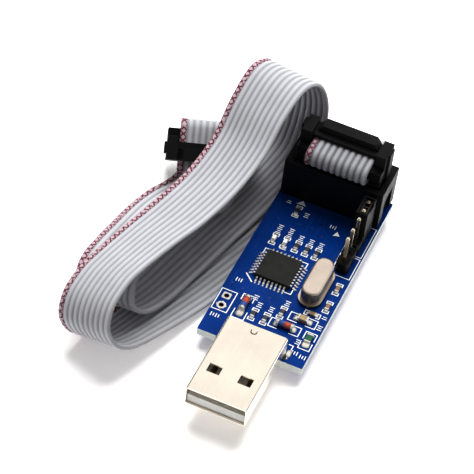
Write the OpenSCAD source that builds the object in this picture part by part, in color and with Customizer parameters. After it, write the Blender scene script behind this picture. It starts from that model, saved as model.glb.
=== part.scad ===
// USB programmer for small microcontrollers, lying on a table with its ribbon cable plugged in.
// X runs across the board, Y from the USB plug towards the box header, Z up.
// The row origin is the centre of the USB plug's mouth.
// Inside the modules x = 0 is the board's left edge, y = 0 its USB edge and z = 0 its top face.

/* [Circuit board] */
// Width of the circuit board
board_w = 21; // [20.8:0.1:24]
// Length of the circuit board
board_l = 47; // [46.5:0.1:52]
// Thickness of the circuit board
board_t = 1.6; // [1.2:0.1:2]
// Gap between the table and the board's underside, which the cable runs through
board_lift = 2.4; // [2.4:0.1:3]

/* [USB plug] */
// Distance from the board's left edge to the plug's centre
usb_x = 11; // [10:0.1:12]
// Width of the metal shell
shell_w = 12; // [12:0.1:12.2]
// Height of the metal shell
shell_h = 4.5; // [4.4:0.1:4.6]
// How far the mouth stands in front of the board
usb_reach = 17.2; // [16:0.1:19]
// How far the shell reaches over the board
shell_over = 1.8; // [1.5:0.1:2]
// Sheet thickness of the shell
shell_t = 0.3; // [0.25:0.05:0.4]

/* [Controller chip] */
// Side of the square moulded body
mcu_side = 7; // [6.8:0.1:7.2]
// Leads along each side
mcu_leads_side = 8; // [4:1:8]
// Distance between neighbouring leads
mcu_pitch = 0.8; // [0.5:0.1:0.8]

/* [Crystal] */
// Length of the metal can
can_l = 10.2; // [9.8:0.1:10.6]
// Width of the metal can
can_w = 3.8; // [3.6:0.1:4]
// Height of the can's top above the board
can_h = 3.7; // [3.2:0.1:4.5]

/* [Headers] */
// Distance between neighbouring pins
pitch = 2.54; // [2.54]
// Side of the square pins
pin_side = 0.64; // [0.6:0.02:0.66]
// Height of the box header's walls
shroud_h = 8.9; // [8.8:0.1:9.2]
// Height of the bare pins above the board
pin_top = 8.6; // [8:0.1:8.8]

/* [Cable plug] */
// Length of the cable plug
plug_l = 17.3; // [17:0.1:17.4]
// Depth of the cable plug
plug_d = 6.1; // [6:0.1:6.2]
// Width of the ribbon cable
ribbon_w = 12.7; // [12.6:0.1:12.7]
// Thickness of the ribbon cable
ribbon_t = 0.9; // [0.8:0.05:0.95]

/* [Hidden] */
$fn = 32;
gap = 0.05;

table_z = -board_t - board_lift;

// Box header
header_l = 20.3;
header_d = 8.8;
header_x = 10.35;
header_y = 43.8;
end_wall = 1.25;
side_wall = 1.1;
header_floor = 2;
header_pin_top = 8;
tail_z = table_z + ribbon_t + 0.3;
hole_r = 0.5;

// Jumper headers: x of both, first pin's y of each
jumper_x = 18.45;
jumper_short_y = 26.5;
jumper_long_y = 32.2;
strip_h = 2.54;
shunt_y = jumper_long_y + 1.5 * pitch;
shunt_h = 6;
shunt_z = strip_h + 0.1;

// Crystal, controller and USB pins
crystal_x = 15.9;
crystal_y = 19.5;
crystal_lead_gap = 4.88;
crystal_lead_r = 0.22;
mcu_x = 7.85;
mcu_y = 20.1;
usb_pin_y = 2.75;
usb_pin_x = [-3.5, -1, 1, 3.5];
usb_slot = [1.2, 2.2];
usb_slot_y = 1.6;
tongue_top = 2.3;
contact_t = 0.2;

// Free holes for an optional two-pin header
option_x = 1.72;
option_y = [7.3, 9.84];

// Chip parts: [x, y]
resistors = [[7.9, 7.95], [10.3, 7.95], [12.5, 10.85], [8.6, 27.5], [10.7, 27.5],
    [12.7, 27.5], [5.2, 36.1]];
small_caps = [[19.6, 21.1], [19.6, 16.1]];
input_cap = [17.7, 13.1];
filter_cap = [16.7, 10.9];
lamps = [[3.95, 27.4], [6.25, 27.4]];
fuse = [19.4, 7.1];
chip = [0.8, 1.6, 0.45];
filter_size = [1.25, 2, 0.95];
fuse_size = [1.25, 2, 0.6];
terminal = 0.3;
diode_front_at = [14.3, 7.85];
diode_side_at = [5.55, 9.2];
diode_l = 3.4;
diode_r = 0.7;

// Cable plug, in its own frame: z = 0 is its mating face
plug_body_h = 7.45;
slot_h = ribbon_t + gap;
cover_z = plug_body_h + slot_h + gap;
cover_top = cover_z + 2;
ribbon_low = plug_body_h + gap / 2 + ribbon_t / 2;
ribbon_high = cover_top + gap + ribbon_t / 2;
plug_seat = header_floor + 0.1;
ribbon_turn_y = -plug_d / 2 - 0.3;
ribbon_exit_y = plug_d / 2 + 1.05;
relief_h = 3.3;

// The far plug leans on the cable beside the board: middle of its mating face, heading and lean
far_plug_at = [-16.6, 43.8, -0.25];
far_plug_turn = 21;
far_plug_lean = 43;

// The ribbon's route, both stretches: [x, y, z, turn, roll] at its middle, where turn and roll
// are the heading and the tilt of its width in degrees. The tail drops from the plug to the
// table behind the header and passes under the board; the run loops back twice beside it.
TAIL_ROUTE = [[10.35, 47.95, 13.05, 0, 0], [10.35, 48.6, 13.05, 0, 0],
    [10.4, 49.6, 12.55, 0, -1], [10.4, 50.7, 11.2, -1, -3], [10.3, 52.1, 9, -3, -6],
    [10.1, 53.7, 6.4, -5, -9], [9.7, 55.1, 3.7, -8, -10], [9.1, 55.8, 1, -11, -10],
    [8.3, 55.6, -1.3, -14, -7], [7.4, 54.4, -2.8, -16, -4], [6.1, 51.7, -3.4, -18, -1],
    [4.9, 48, -3.5, -18, 0], [0.9, 35.6, -3.5, -18, 0], [-2.7, 24.1, -3.5, -18, 0],
    [-6.3, 12.7, -3.3, -18, 3], [-8.2, 7, -3, -17, 6], [-10, 1.3, -2.5, -17, 11],
    [-12.4, -6.3, -1.7, -16, 19]];
RUN_ROUTE = [[-12.4, -6.3, -1.7, -16, 19], [-13.8, -9.8, -0.6, -16, 21], [-15.5, -12.4, 1.8, -16, 22],
    [-17.1, -12.8, 5.3, -15, 22], [-17.7, -10.4, 8.4, -15, 22], [-17.4, -6.8, 10, -15, 22],
    [-16.7, -3, 10.7, -15, 22], [-14.1, 6.7, 10.8, -15, 19], [-11.4, 16.3, 10.5, -15, 15],
    [-9, 25.9, 11.3, -15, 15], [-7.5, 34, 14, -14, 14], [-6.9, 40.5, 18.5, -12, 11],
    [-6, 47, 21, -11, 6], [-4.9, 52.2, 19, -12, 4], [-4, 55.5, 14.2, -12, 3],
    [-3.4, 56.7, 8.6, -12, 3], [-3.3, 55.6, 3, -12, 4], [-3.6, 53, -0.9, -12, 3],
    [-4.3, 50, -2.4, -12, 3], [-5.2, 44.7, -2.7, -12, 3], [-7.2, 34.9, -2.3, -12, 3],
    [-9.3, 25.1, -1.7, -12, 2], [-11.4, 15.4, -1.3, -12, 0], [-13.5, 5.6, -1.1, -13, 4],
    [-15.1, -0.7, 0, -11, 12], [-16.8, -3.8, 2.8, -5, 18], [-17.8, -2.5, 6, -1, 17],
    [-18.3, 1.2, 7.3, 0, 15], [-18.1, 7, 6.5, 0, 14], [-17.7, 13, 5.2, 1, 13],
    [-17.2, 20, 3.6, 3, 12], [-16, 24.8, 2.7, 4, 8], [-13.6, 29, 2.1, -4, -1],
    [-12.6, 31, 2.6, 2, -6], [-12.4, 32.7, 3.7, 15, -4], [-12.85, 34, 4.95, 21, 0]];
ring_step = 6.5;
edge_cut = 0.25;

function spread(count, step) = [for (i = [0 : count - 1]) (i - (count - 1) / 2) * step];

// Moves a piece from the board's frame to the row's frame
module on_board() {
    translate([-usb_x, usb_reach, -shell_h / 2]) children();
}

module at_plug() {
    on_board() translate([header_x, header_y, plug_seat]) children();
}

module at_far_plug() {
    on_board() translate(far_plug_at)
        rotate([-far_plug_lean, 0, 180 + far_plug_turn]) children();
}

// Flat outline of a rectangle with round corners, centred
module rounded(w, h, r) {
    square([w - 2 * r, h], center = true);
    square([w, h - 2 * r], center = true);
    for (x = [-1, 1], y = [-1, 1])
        translate([x * (w / 2 - r), y * (h / 2 - r)]) circle(r = r);
}

// Block centred in x and y, standing on z = 0
module block(x, y, z) {
    translate([-x / 2, -y / 2, 0]) cube([x, y, z]);
}

module header_grid() {
    for (x = spread(5, pitch), y = spread(2, pitch))
        translate([header_x + x, header_y + y, 0]) children();
}

module jumper_row(first_y, count) {
    for (i = [0 : count - 1])
        translate([jumper_x, first_y + i * pitch, 0]) children();
}

module through_holes() {
    header_grid() children();
    jumper_row(jumper_short_y, 2) children();
    jumper_row(jumper_long_y, 3) children();
    for (x = usb_pin_x) translate([usb_x + x, usb_pin_y, 0]) children();
    for (y = spread(2, crystal_lead_gap)) translate([crystal_x, crystal_y + y, 0]) children();
}

module usb_slots() {
    for (side = [-1, 1])
        translate([usb_x + side * shell_w / 2, usb_slot_y, -board_t - 1])
            linear_extrude(board_t + 2) {
                square([usb_slot.x, usb_slot.y - usb_slot.x], center = true);
                for (y = [-1, 1])
                    translate([0, y * (usb_slot.y - usb_slot.x) / 2]) circle(d = usb_slot.x);
            }
}

module circuit_board() {
    color([0.05, 0.16, 0.5]) on_board() difference() {
        translate([board_w / 2, board_l / 2, -board_t])
            linear_extrude(board_t) rounded(board_w, board_l, 0.25);
        through_holes() translate([0, 0, -board_t - 1]) cylinder(r = hole_r, h = board_t + 2);
        for (y = option_y)
            translate([option_x, y, -board_t - 1]) cylinder(r = hole_r, h = board_t + 2);
        usb_slots();
    }
}

module solder_joints() {
    color("silver") on_board() difference() {
        through_holes() translate([0, 0, -board_t - 0.8]) cylinder(r1 = 0.5, r2 = 0.85, h = 0.8);
        through_holes() translate([0, 0, -board_t - 1]) block(pin_side + 0.04, pin_side + 0.04, 2);
    }
}

module usb_shell() {
    hole = [2.5, 2];
    hole_gap = 6.08;
    hole_mouth = 5.16;
    color("gainsboro") on_board() translate([usb_x, 0, 0]) {
        difference() {
            translate([0, shell_over, shell_h / 2]) rotate([90, 0, 0])
                linear_extrude(usb_reach + shell_over) difference() {
                    rounded(shell_w, shell_h, 0.6);
                    rounded(shell_w - 2 * shell_t, shell_h - 2 * shell_t, 0.3);
                }
            for (x = spread(2, hole_gap))
                translate([x, -usb_reach + hole_mouth + hole.y / 2, -1])
                    block(hole.x, hole.y, shell_h + 2);
            // stamped half-round mark near the rear edge
            translate([-0.2, 0.3, shell_h - shell_t / 2]) difference() {
                cylinder(r = 0.65, h = shell_t);
                translate([0, 0, -1]) cylinder(r = 0.45, h = 2);
                translate([-1, 0.1, -1]) cube([2, 2, 2]);
            }
        }
        for (side = [0, 1]) mirror([side, 0, 0])
            translate([shell_w / 2 - shell_t, usb_slot_y - 0.7, -board_t - 0.7])
                cube([shell_t, 0.9, board_t + 0.7 + 0.7]);
    }
}

module usb_insulator() {
    inner_w = shell_w - 2 * shell_t - 2 * gap;
    inner_h = shell_h - 2 * shell_t - 2 * gap;
    rear_l = 4.6;
    color("whitesmoke") on_board() translate([usb_x, 0, 0]) difference() {
        union() {
            translate([-inner_w / 2, -usb_reach + 0.5, shell_t + gap])
                cube([inner_w, usb_reach + shell_over - 1, tongue_top - shell_t - gap]);
            translate([-inner_w / 2, shell_over - 0.3 - rear_l, shell_t + gap])
                cube([inner_w, rear_l, inner_h]);
        }
        // the two locking holes reach into the tongue's underside
        for (x = spread(2, 6.08))
            translate([x, -usb_reach + 6.16, -1]) block(2.5, 2, 1.9);
        for (x = usb_pin_x)
            translate([x - 0.55, -3.5, tongue_top - gap]) cube([1.1, 6, contact_t + 2 * gap]);
    }
}

module usb_contacts() {
    color("gold") on_board() translate([usb_x, 0, 0]) {
        for (i = [0 : 3]) {
            front = i == 0 || i == 3 ? 2.6 : 3.6;
            translate([usb_pin_x[i], 0, 0]) {
                translate([-0.5, -usb_reach + front, tongue_top])
                    cube([1, usb_reach - front + 1.4, contact_t]);
                translate([-0.3, 1.4, tongue_top]) cube([0.6, usb_pin_y - 1.3, contact_t]);
                translate([-0.3, usb_pin_y - 0.1, -board_t - 0.75])
                    cube([0.6, 0.2, board_t + 0.75 + tongue_top + contact_t]);
            }
        }
    }
}

module controller_body() {
    body_h = 1;
    stand = 0.1;
    seam = 0.6;
    color([0.12, 0.12, 0.13]) on_board() translate([mcu_x, mcu_y, stand]) difference() {
        union() {
            block(mcu_side - 0.1, mcu_side - 0.1, body_h);
            translate([0, 0, seam - 0.1]) block(mcu_side, mcu_side, 0.2);
        }
        translate([-mcu_side / 2 + 0.9, mcu_side / 2 - 0.9, body_h - 0.06]) cylinder(r = 0.4, h = 1);
    }
}

// One gull-wing lead, seen from the side: x runs outwards from the body
module lead_profile() {
    t = 0.14;
    polygon([[0, 0.55], [0.42, 0.55], [0.62, t], [1, t], [1, 0], [0.52, 0], [0.32, 0.55 - t],
        [0, 0.55 - t]]);
}

module controller_leads() {
    lead_w = 0.36;
    color("silver") on_board() translate([mcu_x, mcu_y, 0])
        for (turn = [0 : 90 : 270], s = spread(mcu_leads_side, mcu_pitch))
            rotate([0, 0, turn]) translate([mcu_side / 2 + 0.01, s + lead_w / 2, 0.1])
                rotate([90, 0, 0]) linear_extrude(lead_w) lead_profile();
}

// Half outline of the can across its width: the flange, the wall and the rounded top
module can_profile() {
    flange = 0.42;
    top_r = 0.55;
    half = can_w / 2;
    square([half + flange, 0.4]);
    square([half, can_h - 0.3 - top_r]);
    square([half - top_r, can_h - 0.3]);
    translate([half - top_r, can_h - 0.3 - top_r]) circle(r = top_r);
}

module crystal_can() {
    straight = can_l - can_w;
    color("lightgray") on_board() translate([crystal_x, crystal_y, 0.3]) {
        translate([0, straight / 2, 0]) rotate([90, 0, 0]) linear_extrude(straight) {
            can_profile();
            mirror([1, 0]) can_profile();
        }
        for (end = [0, 1]) mirror([0, end, 0])
            translate([0, straight / 2, 0]) rotate_extrude(angle = 180) can_profile();
    }
}

module crystal_base() {
    straight = can_l - can_w;
    color("dimgray") on_board() translate([crystal_x, crystal_y, 0]) difference() {
        linear_extrude(0.3) {
            square([can_w, straight], center = true);
            for (y = spread(2, straight)) translate([0, y]) circle(d = can_w);
        }
        for (y = spread(2, crystal_lead_gap))
            translate([0, y, -1]) cylinder(r = crystal_lead_r + 0.02, h = 2);
    }
}

module crystal_leads() {
    color("silver") on_board()
        for (y = spread(2, crystal_lead_gap))
            translate([crystal_x, crystal_y + y, -board_t - 0.75])
                cylinder(r = crystal_lead_r, h = board_t + 0.75 + 0.3);
}

// Glass diode along x, centred
module diode_glass() {
    translate([-diode_l / 2 + 0.5, 0, 0]) rotate([0, 90, 0])
        cylinder(r = diode_r - 0.05, h = diode_l - 1);
}

module diode_ends() {
    for (side = [0, 1]) mirror([side, 0, 0])
        translate([diode_l / 2 - 0.5, 0, 0]) rotate([0, 90, 0]) cylinder(r = diode_r, h = 0.5);
}

module at_diode_front() {
    on_board() translate([diode_front_at.x, diode_front_at.y, diode_r]) children();
}

module at_diode_side() {
    on_board() translate([diode_side_at.x, diode_side_at.y, diode_r])
        rotate([0, 0, 90]) children();
}

module diode_front() {
    color("orangered") at_diode_front() diode_glass();
}

module diode_side() {
    color("orangered") at_diode_side() diode_glass();
}

module diode_caps() {
    color("silver") {
        at_diode_front() diode_ends();
        at_diode_side() diode_ends();
    }
}

// Middle of a chip part that lies along y; its metal ends are chip_ends()
module chip_middle(size) {
    block(size.x, size.y - 2 * terminal, size.z);
}

module chip_ends(size) {
    for (side = [0, 1]) mirror([0, side, 0])
        translate([0, size.y / 2 - terminal / 2, 0]) block(size.x + 0.04, terminal, size.z + 0.03);
}

module chip_resistors() {
    color([0.15, 0.15, 0.16]) on_board()
        for (p = resistors) translate(p) chip_middle(chip);
}

module chip_capacitors() {
    color([0.5, 0.38, 0.26]) on_board() {
        for (p = small_caps) translate(p) chip_middle(chip);
        translate(input_cap) rotate([0, 0, 90]) chip_middle(chip);
    }
}

module filter_capacitor() {
    color([0.55, 0.47, 0.3]) on_board() translate(filter_cap) rotate([0, 0, 90])
        chip_middle(filter_size);
}

module chip_terminals() {
    color("silver") on_board() {
        for (p = concat(resistors, small_caps, lamps)) translate(p) chip_ends(chip);
        translate(input_cap) rotate([0, 0, 90]) chip_ends(chip);
        translate(filter_cap) rotate([0, 0, 90]) chip_ends(filter_size);
        translate(fuse) chip_ends(fuse_size);
    }
}

module lamp(at) {
    color("ivory") on_board() translate(at) {
        block(chip.x, chip.y - 2 * terminal, 0.3);
        translate([0, 0, 0.3]) block(chip.x - 0.1, chip.y - 2 * terminal, 0.35);
    }
}

module lamp_left() {
    lamp(lamps[0]);
}

module lamp_right() {
    lamp(lamps[1]);
}

module fuse_chip() {
    color([0.15, 0.45, 0.25]) on_board() translate(fuse) chip_middle(fuse_size);
}

module box_header() {
    key = 4.6;
    end_recess = [1.2, 4.4, 5.6];
    color([0.07, 0.07, 0.08]) on_board() difference() {
        translate([header_x, header_y, 0]) block(header_l, header_d, shroud_h);
        translate([header_x, header_y, header_floor])
            block(header_l - 2 * end_wall, header_d - 2 * side_wall, shroud_h);
        translate([header_x, header_y + header_d / 2, header_floor]) block(key, 4, shroud_h);
        for (x = spread(2, header_l)) translate([header_x + x, header_y, -1])
            block(end_recess.x, end_recess.y, end_recess.z + 1);
        header_grid() translate([0, 0, -1]) block(pin_side + 0.02, pin_side + 0.02, 4);
    }
}

module pin(top) {
    translate([0, 0, tail_z]) block(pin_side, pin_side, top - tail_z - 0.3);
    translate([0, 0, top - 0.3]) block(pin_side - 0.24, pin_side - 0.24, 0.3);
}

module box_header_pins() {
    color("gold") on_board() header_grid() pin(header_pin_top);
}

// Plastic strip of a pin header, with its corners cut between the pins
module strip(first_y, count) {
    cut = 0.45;
    half = pitch / 2;
    color([0.07, 0.07, 0.08]) on_board() difference() {
        jumper_row(first_y, count) linear_extrude(strip_h)
            polygon([[-half, -half + cut], [-half + cut, -half], [half - cut, -half],
                [half, -half + cut], [half, half - cut], [half - cut, half],
                [-half + cut, half], [-half, half - cut]]);
        jumper_row(first_y, count) translate([0, 0, -1])
            block(pin_side + 0.02, pin_side + 0.02, 5);
    }
}

module jumper_strip_short() {
    strip(jumper_short_y, 2);
}

module jumper_strip_long() {
    strip(jumper_long_y, 3);
}

module jumper_pins_short() {
    color("silver") on_board() jumper_row(jumper_short_y, 2) pin(pin_top);
}

module jumper_pins_long() {
    color("silver") on_board() jumper_row(jumper_long_y, 3) pin(pin_top);
}

module at_shunt() {
    on_board() translate([jumper_x, shunt_y, shunt_z]) children();
}

module shunt_housing() {
    color([0.07, 0.07, 0.08]) at_shunt() difference() {
        block(2.4, 5, shunt_h);
        translate([0, 0, -1]) block(1.6, 4.2, shunt_h + 2);
        translate([1, 0, shunt_h - 0.8]) block(1, 2.2, 2);
    }
}

module shunt_clip() {
    color("silver") at_shunt() translate([0, 0, 0.5]) {
        for (x = [-0.6, 0.6]) translate([x, 0, 0]) block(0.2, 4, shunt_h - 1);
        block(1.1, 0.3, shunt_h - 1);
    }
}

// ---- cable plug, in its own frame ----

module plug_grid() {
    for (x = spread(5, pitch), y = spread(2, pitch)) translate([x, y, 0]) children();
}

module latch_recess(extra) {
    for (side = [0, 1]) mirror([side, 0, 0])
        translate([plug_l / 2 - 0.6 - extra, -1.3 - extra, plug_body_h - 3])
            cube([1 + extra, 2.6 + 2 * extra, 6]);
}

module plug_block() {
    color([0.08, 0.08, 0.09]) difference() {
        union() {
            block(plug_l, plug_d, plug_body_h);
            translate([0, plug_d / 2 + 0.35, 0]) block(4.2, 1.1, 6.4);
        }
        latch_recess(gap);
        plug_grid() translate([0, 0, -1]) block(1.14, 1.14, 7.6);
    }
}

module plug_lid() {
    color([0.08, 0.08, 0.09]) {
        translate([0, 0, cover_z]) block(plug_l, plug_d, cover_top - cover_z);
        for (side = [0, 1]) mirror([side, 0, 0])
            translate([plug_l / 2 - 0.6, -1.3, plug_body_h - 2.9])
                cube([0.6, 2.6, cover_z - plug_body_h + 3]);
        for (side = [0, 1]) mirror([side, 0, 0])
            translate([ribbon_w / 2 + 0.2, -plug_d / 2 + 0.3, plug_body_h + gap])
                cube([plug_l / 2 - ribbon_w / 2 - 0.2, plug_d - 0.6, cover_z - plug_body_h]);
    }
}

module plug_forks() {
    color("gold") plug_grid() for (x = [-0.44, 0.44])
        translate([x, 0, 0.8]) block(0.14, 0.7, 5.6);
}

// The ribbon from inside the plug's slot, round the lid's front edge and back over its top
module plug_bend() {
    mid = (ribbon_low + ribbon_high) / 2;
    turn_r = (ribbon_high - ribbon_low) / 2;
    color("silver") translate([-ribbon_w / 2, 0, 0]) rotate([90, 0, 90])
        linear_extrude(ribbon_w) {
            translate([ribbon_turn_y, ribbon_low - ribbon_t / 2])
                square([plug_d - 0.3, ribbon_t]);
            translate([ribbon_turn_y, ribbon_high - ribbon_t / 2])
                square([ribbon_exit_y - ribbon_turn_y, ribbon_t]);
            translate([ribbon_turn_y, mid]) difference() {
                circle(r = turn_r + ribbon_t / 2);
                circle(r = turn_r - ribbon_t / 2);
                translate([0, -9]) square([9, 18]);
            }
        }
}

module plug_relief() {
    low = ribbon_high + ribbon_t / 2 + gap;
    plate_top = low + 0.8;
    top = cover_top + relief_h;
    rear = plug_d / 2 + 0.15;
    ear_w = 2;
    color([0.07, 0.07, 0.08]) {
        translate([-plug_l / 2, rear - 3.6, low]) cube([plug_l, 3.6, plate_top - low]);
        translate([0, rear, 0]) rotate([90, 0, 0]) linear_extrude(2.4)
            polygon([[-6.4, plate_top - 0.1], [6.4, plate_top - 0.1], [5.2, top], [-5.2, top]]);
        for (side = [0, 1]) mirror([side, 0, 0]) {
            translate([plug_l / 2 - ear_w, rear - 4.6, cover_top + gap])
                cube([ear_w, 4.6, top - cover_top - 0.35]);
            translate([plug_l / 2 + gap, rear - 3.4, plug_body_h - 0.4])
                cube([0.45, 2.2, top - plug_body_h + 0.1]);
            translate([plug_l / 2 - 0.5, rear - 3.4, top - 1.5])
                cube([0.95 + gap, 2.2, 1.2]);
        }
    }
}

module plug_body() {
    at_plug() plug_block();
}

module plug_cover() {
    at_plug() plug_lid();
}

module plug_contacts() {
    at_plug() plug_forks();
}

module plug_strain_relief() {
    at_plug() plug_relief();
}

module plug_ribbon() {
    at_plug() plug_bend();
}

module far_plug_body() {
    at_far_plug() plug_block();
}

module far_plug_cover() {
    at_far_plug() plug_lid();
}

module far_plug_contacts() {
    at_far_plug() plug_forks();
}

module far_plug_strain_relief() {
    at_far_plug() plug_relief();
}

module far_plug_ribbon() {
    at_far_plug() plug_bend();
}

// ---- free ribbon cable: one flat tube swept along each route ----

function place(p) = [p[0], p[1], p[2]];

function chord(route, i) = norm(place(route[i + 1] - route[i]));

function slope(route, i) =
    let (last = len(route) - 1,
        span = (i > 0 ? chord(route, i - 1) : 0) + (i < last ? chord(route, i) : 0))
    (route[min(i + 1, last)] - route[max(i - 1, 0)]) / span;

// The smooth curve through the points, u running from 0 to 1 between point i and the next
function along(route, i, u) =
    let (h = chord(route, i))
    (2 * u^3 - 3 * u^2 + 1) * route[i] + (u^3 - 2 * u^2 + u) * h * slope(route, i)
        + (3 * u^2 - 2 * u^3) * route[i + 1] + (u^3 - u^2) * h * slope(route, i + 1);

function ahead(route, i, u) =
    let (h = chord(route, i),
        t = (6 * u^2 - 6 * u) * (route[i] - route[i + 1])
            + (3 * u^2 - 4 * u + 1) * h * slope(route, i)
            + (3 * u^2 - 2 * u) * h * slope(route, i + 1))
    place(t) / norm(place(t));

function width_way(turn, roll) = [cos(turn) * cos(roll), sin(turn) * cos(roll), sin(roll)];

// Half of the flat section with cut corners, then its mirror image
function half_section() =
    let (w = ribbon_w / 2, t = ribbon_t / 2)
    [[w, -t + edge_cut], [w, t - edge_cut], [w - edge_cut, t], [-w + edge_cut, t]];

function ring(route, i, u) =
    let (p = along(route, i, u),
        t = ahead(route, i, u),
        flat = width_way(p[3], p[4]),
        square_on = flat - t * (flat * t),
        w = square_on / norm(square_on),
        up = cross(w, t))
    [for (side = [1, -1]) for (c = half_section()) place(p) + side * (c.x * w + c.y * up)];

module ribbon(route) {
    last = len(route) - 1;
    rings = [
        for (i = [0 : last - 1]) let (count = ceil(chord(route, i) / ring_step))
            for (j = [0 : count - 1]) ring(route, i, j / count),
        ring(route, last - 1, 1)
    ];
    sides = 2 * len(half_section());
    ends = len(rings) - 1;
    color("silver") on_board() polyhedron(
        points = [for (r = rings) each r],
        faces = concat(
            [[for (k = [0 : sides - 1]) k]],
            [for (r = [0 : ends - 1]) for (k = [0 : sides - 1])
                let (a = r * sides + k, b = r * sides + (k + 1) % sides)
                each [[a, a + sides, b], [b, a + sides, b + sides]]],
            [[for (k = [sides - 1 : -1 : 0]) ends * sides + k]]));
}

module cable_tail() {
    ribbon(TAIL_ROUTE);
}

module cable_run() {
    ribbon(RUN_ROUTE);
}

circuit_board();
solder_joints();
usb_shell();
usb_insulator();
usb_contacts();
controller_body();
controller_leads();
crystal_can();
crystal_base();
crystal_leads();
diode_front();
diode_side();
diode_caps();
chip_resistors();
chip_capacitors();
filter_capacitor();
chip_terminals();
lamp_left();
lamp_right();
fuse_chip();
box_header();
box_header_pins();
jumper_strip_short();
jumper_strip_long();
jumper_pins_short();
jumper_pins_long();
shunt_housing();
shunt_clip();
plug_body();
plug_cover();
plug_contacts();
plug_strain_relief();
plug_ribbon();
cable_tail();
cable_run();
far_plug_body();
far_plug_cover();
far_plug_contacts();
far_plug_strain_relief();
far_plug_ribbon();
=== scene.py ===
"""Looks of a USB programmer for small microcontrollers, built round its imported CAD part."""

import math

import bmesh
import bpy
import numpy as np
from mathutils import Matrix, Vector


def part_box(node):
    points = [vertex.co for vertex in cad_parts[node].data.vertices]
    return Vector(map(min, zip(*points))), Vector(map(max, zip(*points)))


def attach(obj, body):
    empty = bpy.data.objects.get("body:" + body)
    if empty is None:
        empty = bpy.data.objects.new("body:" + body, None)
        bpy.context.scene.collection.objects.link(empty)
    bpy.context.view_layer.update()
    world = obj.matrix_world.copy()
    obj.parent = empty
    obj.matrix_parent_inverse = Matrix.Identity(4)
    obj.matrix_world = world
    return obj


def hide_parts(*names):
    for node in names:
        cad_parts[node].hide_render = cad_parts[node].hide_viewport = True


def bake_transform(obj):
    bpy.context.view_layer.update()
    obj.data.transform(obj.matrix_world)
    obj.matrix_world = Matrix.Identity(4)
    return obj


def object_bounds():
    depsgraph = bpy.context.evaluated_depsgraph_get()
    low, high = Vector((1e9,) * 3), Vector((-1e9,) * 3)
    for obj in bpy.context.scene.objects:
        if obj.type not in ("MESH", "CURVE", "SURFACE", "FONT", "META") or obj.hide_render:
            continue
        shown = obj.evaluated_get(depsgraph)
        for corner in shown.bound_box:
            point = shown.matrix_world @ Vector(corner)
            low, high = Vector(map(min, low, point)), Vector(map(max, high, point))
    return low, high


MM = 0.001

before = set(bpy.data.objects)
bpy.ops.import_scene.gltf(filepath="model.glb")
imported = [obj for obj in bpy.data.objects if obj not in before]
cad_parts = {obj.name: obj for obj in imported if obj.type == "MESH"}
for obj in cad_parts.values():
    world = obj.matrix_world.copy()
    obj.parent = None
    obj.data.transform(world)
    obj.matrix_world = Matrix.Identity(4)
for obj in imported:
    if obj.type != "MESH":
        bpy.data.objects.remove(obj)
cad_low, cad_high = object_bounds()

board_low, board_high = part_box("circuit_board")


def spot(x, y, z=0.0):
    """A point in millimetres from the board's front left corner and its top face, in the row frame."""
    return Vector((board_low[0] + x * MM, board_low[1] + y * MM, board_high[2] + z * MM))


# ---------------------------------------------------------------- camera

CAMERA_AZIMUTH = 17.38
CAMERA_ELEVATION = 46.92
CAMERA_ROLL = 8.12
CAMERA_AIM = (-2.48, 24.44, 0.0)
CAMERA_DISTANCE = 0.4653
CAMERA_LENS = 185.6
SENSOR_WIDTH = 36
NEAREST_SEEN, FARTHEST_SEEN = 0.01, 10


def make_camera():
    """A camera turned about the up axis, raised and rolled by the angles above, aimed at one point."""
    azimuth, elevation = math.radians(CAMERA_AZIMUTH), math.radians(CAMERA_ELEVATION)
    back = Vector((math.sin(azimuth) * math.cos(elevation), -math.cos(azimuth) * math.cos(elevation),
                   math.sin(elevation)))
    level = (-back).cross(Vector((0, 0, 1))).normalized()
    upright = level.cross(-back)
    roll = math.radians(CAMERA_ROLL)
    right = math.cos(roll) * level + math.sin(roll) * upright
    up = -math.sin(roll) * level + math.cos(roll) * upright
    data = bpy.data.cameras.new("camera")
    data.sensor_width = SENSOR_WIDTH
    data.lens = CAMERA_LENS
    data.clip_start = NEAREST_SEEN
    data.clip_end = FARTHEST_SEEN
    data.dof.use_dof = False
    camera = bpy.data.objects.new("camera", data)
    bpy.context.scene.collection.objects.link(camera)
    turn = Matrix((right, up, back)).transposed().to_4x4()
    camera.matrix_world = Matrix.Translation(spot(*CAMERA_AIM) + back * CAMERA_DISTANCE) @ turn
    bpy.context.scene.camera = camera


make_camera()

# ---------------------------------------------------------------- mesh helpers


def make_piece(name, bm):
    """A new object from a bmesh, its faces all pointing outwards."""
    bmesh.ops.recalc_face_normals(bm, faces=bm.faces)
    mesh = bpy.data.meshes.new(name)
    bm.to_mesh(mesh)
    bm.free()
    piece = bpy.data.objects.new(name, mesh)
    bpy.context.scene.collection.objects.link(piece)
    return piece


def bridge(bm, here, ahead):
    """Side faces between two closed rings of equally many corners."""
    for k in range(len(here)):
        n = (k + 1) % len(here)
        bm.faces.new((here[k], here[n], ahead[n], ahead[k]))


def prism(bm, outline, low, high, place=spot):
    """An upright prism: outline in the board's plane, low and high heights in millimetres."""
    bottom = [bm.verts.new(place(x, y, low)) for x, y in outline]
    top = [bm.verts.new(place(x, y, high)) for x, y in outline]
    bm.faces.new(top)
    bm.faces.new(bottom[::-1])
    bridge(bm, bottom, top)


SHARPEST_MITRE = 0.35  # the cosine below which a mitre grows no longer


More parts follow.
